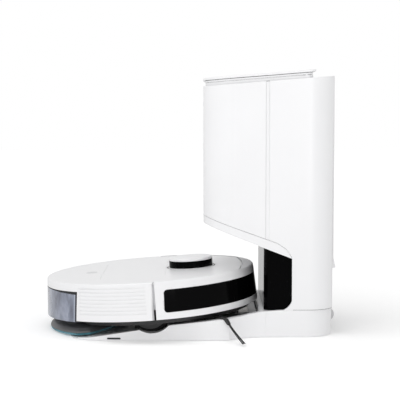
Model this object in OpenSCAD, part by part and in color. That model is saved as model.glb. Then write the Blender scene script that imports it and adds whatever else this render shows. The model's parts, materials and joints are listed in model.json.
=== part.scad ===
// Robot vacuum parked on its self-emptying station, drawn in millimetres.
// +Z is up, the station stands towards +Y and the robot leaves towards -Y.
// The origin is on the floor below the centre of the whole outline.

/* [Station] */
// Width of the tower and of the foot below it
tower_w = 240; // [236:1:244]
// Corner radius at the front of the tower
tower_front_r = 50; // [46:1:52]
// Corner radius at the back of the tower
tower_back_r = 44; // [40:1:46]
// Wall thickness of the tower shells
shell_t = 3; // [2.5:0.1:3.4]
// Slope of the tower top, lower at the front (degrees)
top_slope = 4.46; // [4:0.1:5]
// Width of the ramp
ramp_w = 300; // [298:1:304]
// Plan radius of the ramp's front corners
ramp_r = 45; // [35:1:50]
// Width between the ramp's side rails
tray_w = 276; // [274:1:278]
// Half the width of the black lower panel
panel_hw = 115; // [114:0.5:116]

/* [Robot] */
// Pitch of the parked robot, front raised (degrees)
dock_pitch = 3.87; // [3.8:0.01:3.9]
// Body radius at the bottom edge of the side wall
r_low = 176.5; // [176:0.1:176.8]
// Body radius at the top edge of the side wall
r_top = 172.9; // [172.5:0.1:173.2]
// Height of the deck above the robot's floor plane
deck_z = 79; // [79:0.1:79.3]
// Radius of the sensor turret
turret_r = 36.4; // [36:0.1:36.8]
// Radius of the drive wheels over the tyre
wheel_r = 35; // [34.6:0.1:35]
// Number of grip grooves on each side panel
groove_n = 8; // [5:1:8]
// Length of each stiff side-brush arm
brush_arm = 46; // [40:1:48]
// Radius of the main brush over its bristles
roller_r = 15; // [13:0.5:15]

/* [Hidden] */
$fn = 48;
e = 0.01;
// whole outline: shift along Y that centres it, and the robot's own origin
y_shift = -62.45;
robot_y = 1.35;
robot_z = 16.4;
// tower
tower_y0 = 85.2;
tower_y1 = 296.2;
low_back = 293;
top_z = 400.3;
seam_y = 184.2;
band_y = 190;
panel_y0 = 182;
panel_y1 = 227;
base_top = 44;
tower_hw = tower_w / 2;
top_rise = tan(top_slope);
// sloping underside of the overhang and the joint line of its skirt
low_edge = [[85, 180.6], [226.2, 126.5]];
skirt_line = [[203.4, 150.6], [217.1, 141.4], [223.6, 131.6], [226.2, 126.9]];
skirt_front = 193;
// base
nose_y = -128;
rail_t = 12;
flare_y1 = 184.7;
flare_r = 73.6;
flare_cx = 194.5;
base_z0 = 1;
// rail profile along the side, and the tray between the rails
rail = [[-128.5, 2.2], [-96.5, 4.8], [-19.3, 16.6], [29.5, 24.5], [114.4, 33.6],
        [145, 36], [178, 41.8], [210, 44], [297, 44]];
tray = [[-131, 1.8], [-100, 2.4], [-49, 6.5], [-19.3, 12], [29.5, 17.9],
        [114, 23.6], [150, 26], [174, 28]];
// robot
z_low = 20;
tray_z = 12;
wall = 3;
split_y = 9.3;
bumper_y = 12.3;
rim_r = 169.8;
deck_r = 167.2;
rim_arc = 557;
rim_front = 152.5;
bumper_gap = 3.2;
win_z0 = 30.3;
win_z1 = 66.2;
win_y = 28;
win_t = 1.6;
win_corner = 4.7;
sensor_half = 35;
tank_hw = 132;
tank_y = -72;
tank_top = 65.8;
tank_low = 18;
groove_z = 31.7;
groove_step = 5.73;
turret_y = 68.7;
cap_z0 = 90.1;
cap_z1 = 95;
wheel_x0 = 99;
wheel_w = 21;
wheel_z = 25;
arm_pivot_y = 52;
arm_pivot_z = 34;
sb_x = 108;
sb_y = 97;
sb_dir = 28;
roller_y = 95;
roller_z = 16.5;
roller_len = 110;
caster_y = 136;
lid_y0 = -78;
lid_y1 = 27;
lid_hw = 92;
mop_r = 173;
mop_front_r = 191;
mop_front_y = -240;
foot_at = [[126, -96], [132, 96], [95, 262]];
// tower lid's hinge line, in the frame of the sloping top
hinge_y = 172.5;
hinge_z = 8.4;

// node list, in drawing order

// ---------- helpers ----------

// station frame: Y measured from the parked robot's centre
module at_station() {
  translate([0, y_shift, 0]) children();
}

// robot frame: Z from the robot's own floor plane
module at_robot() {
  translate([0, y_shift + robot_y, robot_z]) rotate([dock_pitch, 0, 0]) children();
}

// frame lying on the sloping tower top
module on_top() {
  at_station() translate([0, 85, top_z]) rotate([top_slope, 0, 0]) children();
}

// a side profile (Y, Z) extruded along X about the middle
module along_x(w) {
  translate([-w / 2, 0, 0]) rotate([90, 0, 90]) linear_extrude(height = w) children();
}

// mirrored copy on the -X side
module both_sides() {
  children();
  mirror([1, 0, 0]) children();
}

// rectangle with its own radii at the front (low Y) and the back
module round_rect(hw, y0, y1, rf, rb) {
  translate([-hw + rf, y0]) square([2 * (hw - rf), rf + e]);
  translate([-hw, y0 + rf]) square([2 * hw, y1 - y0 - rf - rb]);
  translate([-hw + rb, y1 - rb - e]) square([2 * (hw - rb), rb + e]);
  for (s = [-1, 1]) {
    translate([s * (hw - rf), y0 + rf]) circle(r = rf);
    translate([s * (hw - rb), y1 - rb]) circle(r = rb);
  }
}

module tower_plan(inset, back) {
  round_rect(tower_hw - inset, tower_y0 + inset, back, tower_front_r - inset,
             tower_back_r - inset);
}

function top_at(y) = top_z + (y - 85) * top_rise;

// side wall radius at a height in the robot frame
function wall_r(z) = r_low - (z - z_low) * (r_low - r_top) / (deck_z - z_low);

module body_cone(z0, z1, inset) {
  translate([0, 0, z0]) cylinder(h = z1 - z0, r1 = wall_r(z0) - inset, r2 = wall_r(z1) - inset);
}

module block(x0, x1, y0, y1, z0, z1) {
  translate([x0, y0, z0]) cube([x1 - x0, y1 - y0, z1 - z0]);
}

module rod_x(x0, x1, y, z, r) {
  translate([x0, y, z]) rotate([0, 90, 0]) cylinder(h = x1 - x0, r = r);
}

// ---------- station: base ----------

module base_plan() {
  difference() {
    union() {
      translate([-ramp_w / 2 + ramp_r, nose_y]) square([ramp_w - 2 * ramp_r, ramp_r + 1]);
      translate([-ramp_w / 2, nose_y + ramp_r])
        square([ramp_w, flare_y1 - nose_y - ramp_r]);
      translate([-tower_hw, flare_y1 - 1])
        square([tower_w, low_back - tower_back_r - flare_y1 + 1]);
      translate([-tower_hw + tower_back_r, low_back - tower_back_r - 1])
        square([tower_w - 2 * tower_back_r, tower_back_r + 1]);
      for (s = [-1, 1]) {
        translate([s * (ramp_w / 2 - ramp_r), nose_y + ramp_r]) circle(r = ramp_r);
        translate([s * (tower_hw - tower_back_r), low_back - tower_back_r])
          circle(r = tower_back_r);
      }
    }
    for (s = [-1, 1])
      translate([s * flare_cx, flare_y1]) circle(r = flare_r);
  }
}

// hollow under the base, closed by the floor plate
module base_hollow(inset, z0, flat) {
  roof = flat ? [[-44, 3], [174, 3], [284, 3]]
              : [[-44, 4], [-19, 8.5], [29, 14.4], [114, 20], [172, 24], [176, 39], [284, 39]];
  along_x(2 * (84 - inset))
    polygon(concat([[284 - inset, z0], [-44 + inset, z0]], roof));
  along_x(2 * (132 - inset))
    polygon([[108 - inset, z0], [52 + inset, z0], [52 + inset, flat ? 3 : 16],
             [108 - inset, flat ? 3 : 19]]);
  along_x(2 * (112 - inset))
    polygon([[245 - inset, z0], [130 + inset, z0], [130 + inset, flat ? 3 : 21],
             [172, flat ? 3 : 24], [176, flat ? 3 : 39], [245 - inset, flat ? 3 : 39]]);
}

module station_base() {
  color("white") at_station() difference() {
    union() {
      difference() {
        intersection() {
          translate([0, 0, base_z0]) linear_extrude(height = 50) base_plan();
          along_x(ramp_w + 20)
            polygon(concat([[297, 0], [-128.5, 0]], rail));
        }
        // tray, its side rails following the outline where the base narrows
        difference() {
          along_x(tray_w) polygon(concat(tray, [[174, 60], [-131, 60]]));
          both_sides() translate([flare_cx, flare_y1, -1]) cylinder(h = 70, r = flare_r + rail_t);
        }
        // wheel troughs, deep under the wheel and shallower through the rail
        both_sides() {
          rod_x(91, 131, robot_y - wheel_z * sin(dock_pitch),
                robot_z + wheel_z * cos(dock_pitch), wheel_r + 0.7);
          rod_x(130, 156, robot_y + 2, robot_z + wheel_z + 6, 35.5);
        }
        base_hollow(0, -1, false);
        // slot low in the side of each rail
        both_sides() block(142, 152, -66.6, -45.4, 2.2, 5);
        // opening for the mains inlet and for the duct in the roof of the foot
        block(49, 75, 280, 300, 12, 29);
        block(-37, 37, 187, 225, 30, 60);
      }
      // raised frame round the emptying port
      at_port() block(-46, 46, 3, 47, -4, 5);
    }
    at_port() block(-40, 40, 9, 41, -20, 6);
    // pockets for the charging contacts
    both_sides() at_port() block(31.7, 48.3, 141.7, 158.3, -3, 20);
  }
}

// robot frame expressed inside the station frame
module at_port() {
  translate([0, robot_y, robot_z]) rotate([dock_pitch, 0, 0]) children();
}

module base_floor_plate() {
  color("gainsboro") at_station() base_hollow(0.3, base_z0, true);
}

module base_feet() {
  color("dimgray") at_station() both_sides()
    for (p = foot_at)
      translate([p[0], p[1], 0]) cylinder(h = base_z0, r = 9);
  // grip strips set into the side slots
  color("dimgray") at_station() both_sides() block(142, 148.2, -66.6, -45.4, 2.2, 5);
}

module ramp_treads() {
  slope = atan((tray[2][1] - tray[1][1]) / (tray[2][0] - tray[1][0]));
  color("silver") at_station() both_sides()
    translate([96, tray[1][0], tray[1][1]]) rotate([slope, 0, 0]) {
      cube([28, 50, 0.5]);
      for (i = [0:7])
        translate([0, 2 + i * 6, 0]) cube([28, 2, 1.1]);
    }
}

module port_seal() {
  color("dimgray") at_robot() difference() {
    block(-46, 46, 3, 47, 5, tray_z - 0.5);
    block(-40, 40, 9, 41, 4, tray_z);
  }
}

module duct_side(t) {
  polygon([[4 + t, 3.2 + t], [4 + t, 10.8 - t], [30, 12.8 - t], [112, 18.5 - t],
           [168, 22 - t], [189 + t, 24 - t], [189 + t, 240 + 2 * t], [223 - t, 240 + 2 * t],
           [223 - t, 3.2 + t]]);
}

module suction_duct() {
  color("darkgray") at_station() difference() {
    along_x(72) duct_side(0);
    along_x(68) duct_side(2);
    block(-34, 34, 10, 28, 8, 20);
  }
}

// sprung charging contact in its pocket
module station_contact(s) {
  at_robot() translate([s * 40, 150, 0]) {
    block(-8, 8, -8, 8, 2.2, tray_z - 1.6);
    block(-5, 5, -7, 7, tray_z - 1.6, tray_z - 0.4);
  }
}

module station_contact_left() {
  color("silver") station_contact(-1);
}

module station_contact_right() {
  color("silver") station_contact(1);
}

// ---------- station: tower ----------

module front_panel() {
  color("black") at_station() intersection() {
    difference() {
      translate([0, 0, base_top - 1.2]) linear_extrude(height = 112)
        difference() {
          round_rect(panel_hw, panel_y0, panel_y1 + 20, 14, 2);
          round_rect(panel_hw - shell_t, panel_y0 + shell_t, panel_y1 + 30, 11, 2);
        }
      along_x(260) polygon([[panel_y1, 0], [300, 0], [300, 200], [panel_y1, 200]]);
    }
    along_x(260) union() {
      translate([panel_y0 - 2, 42.6]) square([25, 120]);
      translate([panel_y0 - 2, 65]) square([47, 120]);
      translate([205, 65]) circle(r = 22);
    }
    along_x(260) polygon([[170, 41.9], [178, 42.1], [210, 44.3], [230, 44.3], [230, 130.5],
                          [170, 153.5]]);
  }
}

module skirt_band() {
  polygon(concat([[80, skirt_front + 2]], skirt_line,
                 [low_edge[1], [80, low_edge[0][1] + 1.95]]));
}

module overhang_trim() {
  color("white") at_station() difference() {
    intersection() {
      translate([0, 0, 100]) linear_extrude(height = 120) tower_plan(0, tower_y1);
      along_x(250) skirt_band();
    }
    intersection() {
      translate([0, 0, 90]) linear_extrude(height = 140) tower_plan(shell_t, tower_y1 - 6);
      along_x(250)
        polygon([[80, 187], [panel_y0 - 0.4, 148], [panel_y0 - 0.4, 100], [240, 100],
                 [240, 220], [80, 220]]);
    }
  }
}

// hollow tower outline, closed at the top by a sloping plate
module tower_tube(outset, inset, lower) {
  difference() {
    translate([0, 0, 30]) linear_extrude(height = 400) tower_plan(outset, tower_y1);
    intersection() {
      translate([0, 0, 29]) linear_extrude(height = 402) tower_plan(inset, tower_y1 - 7);
      along_x(260)
        polygon([[60, 20], [320, 20], [320, top_at(320) - lower], [60, top_at(60) - lower]]);
    }
  }
}

module bag_mouth() {
  on_station_top() translate([0, 0, -20]) linear_extrude(height = 40)
    round_rect(109, 10, 160, 38, 8);
}

// the sloping top frame inside the station frame
module on_station_top() {
  translate([0, 85, top_z]) rotate([top_slope, 0, 0]) children();
}

module tower_front_shell() {
  color("white") at_station() difference() {
    intersection() {
      tower_tube(0, shell_t, shell_t);
      along_x(250)
        polygon([[80, skirt_front + 2.4], [seam_y - 0.2, 158.1],
                 [seam_y - 0.2, top_at(seam_y - 0.2)], [80, top_at(80)]]);
    }
    bag_mouth();
    // seat of the status lens
    translate([0, tower_y0 + 1.2, 372]) rotate([90, 0, 0]) cylinder(h = 5, r = 3.5);
  }
}

module tower_rear_shell() {
  color("white") at_station() difference() {
    union() {
      // upper half with a recessed band beside the joint
      intersection() {
        tower_tube(0, shell_t, shell_t);
        along_x(250) {
          polygon(concat([[band_y, top_at(band_y)], [band_y, 155.9]],
                         [for (p = skirt_line) [p[0] + 0.1, p[1] + 0.4]],
                         [[226.3, base_top + 0.2], [low_back, base_top + 0.2],
                          [low_back, 104], [tower_y1 + 1, 135],
                          [tower_y1 + 1, top_at(tower_y1 + 1)]]));
          // corner below the rounded end of the lower panel
          difference() {
            translate([205, base_top + 0.2]) square([23.5, 20.5]);
            translate([205, 65.3]) circle(r = 22.3);
          }
        }
      }
      intersection() {
        tower_tube(1, shell_t - 0.3, shell_t - 0.3);
        along_x(250)
          polygon([[seam_y, 158], [band_y + 2, 155.2], [band_y + 2, top_at(band_y + 2) - 0.6],
                   [seam_y, top_at(seam_y) - 0.6]]);
      }
      // thick edges beside the lower panel
      both_sides() block(panel_hw, tower_hw - 2, panel_y1, panel_y1 + 6, base_top + 0.2, 126);
    }
    bag_mouth();
    block(-46, 46, low_back - 2.6, 300, 52, 92);
    block(-40, 40, 280, 300, 56, 88);
  }
}

module bag_chamber() {
  color("gainsboro") at_station() difference() {
    translate([0, 0, 240]) linear_extrude(height = 154)
      round_rect(108, 98, 282, 38, 34);
    translate([0, 0, 243]) linear_extrude(height = 154)
      round_rect(105.5, 100.5, 279.5, 35.5, 31.5);
    block(-34, 34, 191, 221, 230, 250);
    translate([0, 142, 230]) cylinder(h = 20, r = 24);
  }
}

module neck_plan(inset) {
  round_rect(115 - inset, 4.3 + inset, 174.5 - inset, 44 - inset, 8 - min(inset, 6));
}

module lid_collar() {
  color("white") on_top() difference() {
    union() {
      difference() {
        linear_extrude(height = 4.6) neck_plan(0);
        translate([0, 0, -1]) linear_extrude(height = 7) neck_plan(3.5);
      }
      both_sides() block(70, 76, hinge_y - 2.9, hinge_y + 1.9, 4, hinge_z);
      both_sides() rod_x(70, 76, hinge_y, hinge_z, 2.9);
    }
    both_sides() rod_x(69, 77, hinge_y, hinge_z, 2);
  }
}

module lid_hinge_pin() {
  color("silver") on_top() both_sides() rod_x(58, 76, hinge_y, hinge_z, 2);
}

module lid_seal() {
  color("dimgray") on_top() difference() {
    linear_extrude(height = 8.8) round_rect(110, 9.5, 163, 39, 4);
    translate([0, 0, -1]) linear_extrude(height = 12) round_rect(107.5, 12, 160.5, 36.5, 3);
  }
}

module tower_lid() {
  color("white") on_top() difference() {
    union() {
      translate([0, 0, 9.2]) linear_extrude(height = 3.4) round_rect(118, 1, 180, 47, 9);
      difference() {
        translate([0, 0, 5.2]) linear_extrude(height = 4.4) neck_plan(0);
        translate([0, 0, 4]) linear_extrude(height = 7) neck_plan(3);
        block(-82, 82, 160, 180, 4, 9.2);
      }
      both_sides() rod_x(58, 69, hinge_y, hinge_z, 3.3);
    }
    both_sides() rod_x(50, 69.5, hinge_y, hinge_z, 2.06);
    both_sides() rod_x(69, 77, hinge_y, hinge_z, 3.3);
    // finger scoop under the front edge
    block(-30, 30, -2, 3.4, 9, 10.4);
  }
}

module dust_bag() {
  color("lightgray") at_station() translate([0, 0, 247]) {
    linear_extrude(height = 118) round_rect(84, 112, 262, 26, 26);
  }
}

module bag_holder() {
  color("tan") at_station() difference() {
    block(-62, 62, 176, 236, 243, 246.8);
    block(-30, 30, 193, 219, 242, 248);
  }
}

module station_fan() {
  color("gray") at_station() translate([0, 142, 0]) {
    translate([0, 0, 199]) cylinder(h = 34, r = 38);
    translate([0, 0, 233]) cylinder(h = 7, r = 30);
    translate([0, 0, 192]) cylinder(h = 7, r = 20);
  }
}

module exhaust_grille() {
  color("gainsboro") at_station() {
    difference() {
      block(-45.8, 45.8, low_back - 2.5, low_back - 0.3, 52.2, 91.8);
      for (i = [0:5])
        block(-38, 38, low_back - 4, low_back + 1, 56 + i * 5.6, 59 + i * 5.6);
    }
  }
}

module mains_inlet() {
  color("dimgray") at_station() difference() {
    block(49.2, 74.8, 284.5, low_back - 0.6, 12.2, 28.8);
    block(53, 71, 286.5, 300, 15, 26);
  }
  color("silver") at_station() for (x = [58.5, 65.5])
    translate([x, 286, 20.5]) rotate([-90, 0, 0]) cylinder(h = 5.5, r = 1.2);
}

module cord_rests() {
  color("white") at_station() {
    along_x(120) polygon([[296.16, 127.3], [293.06, 104.4], [301.4, 104.4], [301.4, 106.4],
                          [296.5, 127.3]]);
    intersection() {
      along_x(90) translate([290.6, 25.6]) circle(r = 10.8);
      block(-80, 80, low_back, 320, 10, 50);
    }
  }
}

module status_lens() {
  color("white") at_station() translate([0, tower_y0 + 1.2, 372]) rotate([90, 0, 0])
    cylinder(h = 1.4, r = 3.5);
}

// ---------- robot: body ----------

module chassis_tray() {
  color("dimgray") at_robot() difference() {
    union() {
      translate([0, 0, tray_z]) cylinder(h = 8, r1 = 163, r2 = 171);
      // bearing posts of the wheel arms, clear of the tray floor
      both_sides() block(61, 66, 42, 62, tray_z + 1, 40);
      both_sides() block(91.5, 94.5, 42, 62, tray_z + 1, 40);
      // end plates of the main brush and the cup over the caster
      both_sides() block(59.6, 64, 86, 104, tray_z + 1, 26);
      translate([0, caster_y, tray_z]) cylinder(h = 19, r = 24);
    }
    difference() {
      translate([0, 0, tray_z + wall]) cylinder(h = 12, r = 162);
      both_sides() block(61, 66, 42, 62, tray_z, 41);
      both_sides() block(91.5, 94.5, 42, 62, tray_z, 41);
      both_sides() block(59.6, 64, 86, 104, tray_z, 41);
      translate([0, caster_y, tray_z]) cylinder(h = 19, r = 24);
    }
    // bay of the water tank
    block(-tank_hw - 0.6, tank_hw + 0.6, -200, tank_y + 1, 0, 30);
    // wheel wells, pivot bores, brush mouth, caster well
    both_sides() block(95.5, 124.5, -50, 50, 0, 30);
    both_sides() block(67, 90.5, -24, 60, 0, 30);
    both_sides() rod_x(60, 96, arm_pivot_y, arm_pivot_z, 3.06);
    block(-59.6, 59.6, 76, 114, 0, 40);
    both_sides() rod_x(59, 65, roller_y, roller_z, 3.06);
    translate([0, caster_y, 0]) cylinder(h = tray_z + 16, r = 21.5);
    translate([0, caster_y, 0]) cylinder(h = 60, r = 4.06);
    // emptying mouth over the port
    block(-36, 36, 12, 38, 0, 30);
    // seats of the cliff windows, the contact plates and the brush gearboxes
    both_sides() translate([128, 62, tray_z - 1]) cylinder(h = 1.8, r = 6);
    both_sides() translate([64, 140, tray_z - 1]) cylinder(h = 1.8, r = 6);
    both_sides() block(30, 50, 143, 157, 0, tray_z + 1);
    both_sides() translate([sb_x, sb_y, 0]) cylinder(h = 30, r = 5.08);
  }
}

// grip grooves along each side panel
module side_grooves() {
  intersection() {
    union() {
      for (i = [0:groove_n - 1])
        difference() {
          body_cone(groove_z + i * groove_step - 1, groove_z + i * groove_step + 1, -2);
          body_cone(groove_z + i * groove_step - 2, groove_z + i * groove_step + 2, 0.9);
        }
    }
    both_sides() linear_extrude(height = 90)
      polygon([[100, -0.5], [200, -3], [200, -160.8], [100, -80.4]]);
  }
}

module body_shell() {
  color("white") at_robot() difference() {
    union() {
      // side wall of the rear half
      difference() {
        body_cone(z_low, deck_z - 1.5, 0);
        body_cone(z_low - 2, deck_z - wall, wall);
        block(-200, 200, split_y, 200, 0, 100);
        block(-tank_hw - 0.6, tank_hw + 0.6, -200, -90, 0, tank_top + 0.6);
        side_grooves();
      }
      // bevelled rear deck
      intersection() {
        translate([0, 0, deck_z - 1.5 - e]) cylinder(h = 1.5, r1 = wall_r(deck_z - 1.5), r2 = r_top - 1);
        block(-200, 200, -200, split_y, 0, 100);
      }
      intersection() {
        body_cone(deck_z - wall, deck_z - 1, 1);
        block(-200, 200, -200, split_y, 0, 100);
      }
      // front deck inside the bumper rim, and the ledge below the rim
      intersection() {
        translate([0, 0, deck_z - wall]) cylinder(h = wall - e, r = deck_r);
        translate([0, rim_front - rim_arc, 70]) cylinder(h = 20, r = rim_arc);
      }
      intersection() {
        translate([0, 0, deck_z - 5]) cylinder(h = 2.2, r = 166);
        block(-200, 200, split_y - 4, 200, 0, 100);
      }
      // flange behind the gap of the bumper's end
      intersection() {
        difference() {
          translate([0, 0, 35]) cylinder(h = 41.5, r = 168.3);
          translate([0, 0, 34]) cylinder(h = 44, r = 165.5);
        }
        block(-200, 200, -2, 26, 0, 100);
      }
      intersection() {
        difference() {
          translate([0, 0, 35]) cylinder(h = 41.5, r = 172);
          translate([0, 0, 34]) cylinder(h = 44, r = 165.5);
        }
        block(-200, 200, -2, split_y - 1, 0, 100);
      }
    }
    // turret seat and the shallow ring round it
    translate([0, turret_y, 60]) cylinder(h = 40, r = 33);
    translate([0, turret_y, deck_z - 0.8]) difference() {
      cylinder(h = 5, r = 40.6);
      translate([0, 0, -1]) cylinder(h = 7, r = 38.6);
    }
    // mouth below the deck lid, with a ledge round it
    block(-lid_hw + 8, lid_hw - 8, lid_y0 + 8, lid_y1 - 8, 60, 90);
    block(-lid_hw - 0.2, lid_hw + 0.2, lid_y0 - 0.2, lid_y1 + 0.2, deck_z - 1.9, 90);
    translate([0, -99, 60]) cylinder(h = 40, r = 9.4);
  }
}

module robot_contacts() {
  color("silver") at_robot() both_sides() block(30.2, 49.8, 143.2, 156.8, tray_z, tray_z + 1);
}

module turret_base() {
  color("white") at_robot() translate([0, turret_y, 0]) difference() {
    union() {
      translate([0, 0, 58]) cylinder(h = 21, r = 32.8);
      translate([0, 0, deck_z]) cylinder(h = 0.8, r = 38);
    }
    translate([0, 0, 61]) cylinder(h = 30, r = 30.5);
    translate([0, 0, 50]) cylinder(h = 30, r = 4.05);
  }
}

module turret_window() {
  color("black") at_robot() translate([0, turret_y, deck_z + 0.8]) difference() {
    cylinder(h = cap_z0 - deck_z - 0.8, r = turret_r);
    translate([0, 0, -1]) cylinder(h = 20, r = turret_r - 2);
  }
}

module turret_cap() {
  color("white") at_robot() translate([0, turret_y, cap_z0]) difference() {
    union() {
      cylinder(h = 3.4, r = turret_r);
      translate([0, 0, 3.4 - e]) cylinder(h = cap_z1 - cap_z0 - 3.4, r1 = turret_r, r2 = turret_r - 2.2);
    }
    translate([0, 0, -1]) cylinder(h = 3, r = turret_r - 3);
  }
}

module lidar_rotor() {
  color("dimgray") at_robot() translate([0, turret_y, 0]) {
    translate([0, 0, 55]) cylinder(h = 8, r = 4);
    translate([0, 0, 62]) cylinder(h = 17, r = 26);
    difference() {
      translate([0, 0, 78]) cylinder(h = 12, r = 24);
      block(-20, 20, 4, 40, 80, 88);
    }
    for (s = [-1, 1])
      translate([s * 9, 3, 84]) rotate([-90, 0, 0]) cylinder(h = 14, r = 4);
  }
}

module dust_bin() {
  color("darkgray") at_robot() difference() {
    block(-60, 36, -66, 16, 17, 73.5);
    block(-58, 34, -64, 14, 19, 71.5);
    block(-36, 36, 12.5, 20, 19, 40);
  }
}

module bin_filter() {
  color("white") at_robot() difference() {
    block(36, 41, -60, 4, 26, 64);
    for (i = [0:6])
      block(38.5, 43, -56 + i * 8, -52 + i * 8, 29, 61);
  }
}

module suction_fan() {
  color("gray") at_robot() translate([66, -46, 0]) {
    translate([0, 0, 17]) cylinder(h = 40, r = 20);
    translate([0, 0, 57]) cylinder(h = 6, r = 12);
  }
}

module battery() {
  color("steelblue") at_robot() block(-56, 56, 24, 60, 18, 50);
}

module brush_guard() {
  color("gray") at_robot() difference() {
    union() {
      difference() {
        block(-59.4, 59.4, 76.2, 113.8, tray_z, tray_z + 2.4);
        block(-56, 56, 79, 111, 0, 40);
      }
      for (x = [-40, -20, 0, 20, 40])
        block(x - 1.2, x + 1.2, 76.2, 113.8, tray_z - 11.6, tray_z + 2.4);
    }
    rod_x(-100, 100, roller_y, roller_z, roller_r + 0.8);
  }
}

module cliff_windows() {
  color("black") at_robot() {
    both_sides() translate([128, 62, tray_z + 0.1]) cylinder(h = 0.7, r = 5.8);
    both_sides() translate([64, 140, tray_z + 0.1]) cylinder(h = 0.7, r = 5.8);
  }
}

module deck_lid() {
  color("white") at_robot() difference() {
    union() {
      translate([0, 0, deck_z - 1.8]) linear_extrude(height = 1.75)
        round_rect(lid_hw, lid_y0, lid_y1, 4, 4);
      both_sides() block(50, 60, lid_y1 - 16, lid_y1 - 9, deck_z - 5, deck_z - 1);
    }
    block(-20, 20, lid_y0 - 1, lid_y0 + 5, deck_z - 4, deck_z - 0.9);
  }
}

module power_button() {
  color("gainsboro") at_robot() translate([0, -99, 0]) {
    translate([0, 0, deck_z - 2.6]) cylinder(h = 2.9, r = 9);
    translate([0, 0, deck_z - 9]) cylinder(h = 7, r = 3);
  }
}

// ---------- robot: bumper ----------

module window_side() {
  along_x(400) union() {
    translate([win_y + win_corner, win_z0]) square([200, win_z1 - win_z0]);
    translate([win_y, win_z0 + win_corner])
      square([200, win_z1 - win_z0 - 2 * win_corner]);
    for (z = [win_z0 + win_corner, win_z1 - win_corner])
      translate([win_y + win_corner, z]) circle(r = win_corner);
  }
}

module window_ring() {
  intersection() {
    difference() {
      body_cone(win_z0 - 2, win_z1 + 2, 0);
      body_cone(win_z0 - 3, win_z1 + 3, win_t);
    }
    window_side();
  }
}

module sensor_wedge(gap) {
  t = tan(sensor_half);
  translate([0, 0, win_z0 - 5]) linear_extrude(height = win_z1 - win_z0 + 10)
    polygon([[0, gap], [250 * t, 250 + gap], [-250 * t, 250 + gap]]);
}

module bumper_shell() {
  color("white") at_robot() difference() {
    union() {
      body_cone(z_low, deck_z - 1, 0);
      translate([0, 0, deck_z - 1 - e])
        cylinder(h = 1.5, r1 = wall_r(deck_z - 1), r2 = r_top - 1);
    }
    translate([0, 0, z_low - 1]) cylinder(h = deck_z - 2.4 - z_low + 1, r1 = 172.8, r2 = rim_r);
    intersection() {
      translate([0, 0, deck_z - 4]) cylinder(h = 10, r = rim_r);
      translate([0, rim_front + bumper_gap - rim_arc, 70]) cylinder(h = 20, r = rim_arc);
    }
    block(-200, 200, -200, bumper_y, 0, 100);
    intersection() {
      difference() {
        body_cone(win_z0 - 2, win_z1 + 2, -3);
        body_cone(win_z0 - 3, win_z1 + 3, win_t);
      }
      window_side();
    }
  }
}

module bumper_window() {
  color("black") at_robot() difference() {
    window_ring();
    sensor_wedge(-0.4);
  }
}

module front_sensor_window() {
  color("black") at_robot() intersection() {
    window_ring();
    sensor_wedge(0);
  }
}

// ---------- robot: tank and mop ----------

module tank_side(t) {
  y1 = tank_y - t;
  drop = tan(dock_pitch);
  polygon([[-190, tank_low + t], [y1, tank_low + t],
           [y1, tank_top - (176 + y1) * drop - t], [-190, tank_top + 14 * drop - t]]);
}

module water_tank() {
  color("slategray") at_robot() difference() {
    intersection() {
      body_cone(tank_low, tank_top + 1, 0);
      along_x(2 * tank_hw) tank_side(0);
    }
    difference() {
      intersection() {
        body_cone(tank_low, tank_top + 1, 2.2);
        along_x(2 * (tank_hw - 2.2)) tank_side(2.2);
      }
      // bosses behind the latch and over the mop posts
      translate([0, -164, 54]) rotate([90, 0, 0]) cylinder(h = 20, r = 9.6);
      both_sides() translate([52, -118, tank_low - 1]) cylinder(h = 8, r = 10.6);
    }
    // latch seat and filler hole
    translate([0, -168.5, 54]) rotate([90, 0, 0]) cylinder(h = 20, r = 7.4);
    translate([-60, -100, 50]) cylinder(h = 20, r = 12.2);
    // sockets of the mop posts
    both_sides() translate([52, -118, tank_low - 1]) cylinder(h = 5, r = 8.4);
  }
}

module tank_plug() {
  color("dimgray") at_robot() translate([-60, -100, 0]) {
    translate([0, 0, tank_top - 8.8]) cylinder(h = 2.6, r = 12);
  }
}

module tank_latch() {
  color("gray") at_robot() translate([0, -170.5, 54]) rotate([90, 0, 0]) cylinder(h = 3.4, r = 7);
}

module mop_form(z0, z1, inset0, inset1) {
  h = z1 - z0;
  translate([0, 0, z0]) intersection() {
    cylinder(h = h, r1 = mop_r - inset0, r2 = mop_r - inset1);
    translate([0, mop_front_y, 0])
      cylinder(h = h, r1 = mop_front_r - inset0, r2 = mop_front_r - inset1);
    translate([0, -112, 0]) cylinder(h = h, r1 = 127 - inset0, r2 = 127 - inset1);
  }
}

module mop_plate() {
  color("dimgray") at_robot() {
    mop_form(-0.5, 2, 0, 1);
    mop_form(2 - e, 6, 1, 6);
    mop_form(6 - e, 9, 6, 14);
    both_sides() translate([52, -118, 8]) cylinder(h = 10.5, r = 8);
  }
}

module mop_pad() {
  color("cadetblue") at_robot() mop_form(-4.5, -0.5, 1.2, 0.4);
}

// ---------- robot: wheels ----------

module wheel_arm(s) {
  at_robot() scale([s, 1, 1]) difference() {
    union() {
      rod_x(68, 89.5, arm_pivot_y, arm_pivot_z, 8);
      along_x2(68, 89.5) polygon([[arm_pivot_y, arm_pivot_z - 8], [arm_pivot_y, arm_pivot_z + 8],
                                  [0, wheel_z + 18], [0, wheel_z - 18]]);
      rod_x(68, 89.5, 0, wheel_z, 18);
      rod_x(62, 95.5, arm_pivot_y, arm_pivot_z, 3);
      rod_x(89, 108, 0, wheel_z, 4);
    }
  }
}

module along_x2(x0, x1) {
  translate([x0, 0, 0]) rotate([90, 0, 90]) linear_extrude(height = x1 - x0) children();
}

module wheel_arm_left() {
  color("gray") wheel_arm(-1);
}

module wheel_arm_right() {
  color("gray") wheel_arm(1);
}

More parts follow.
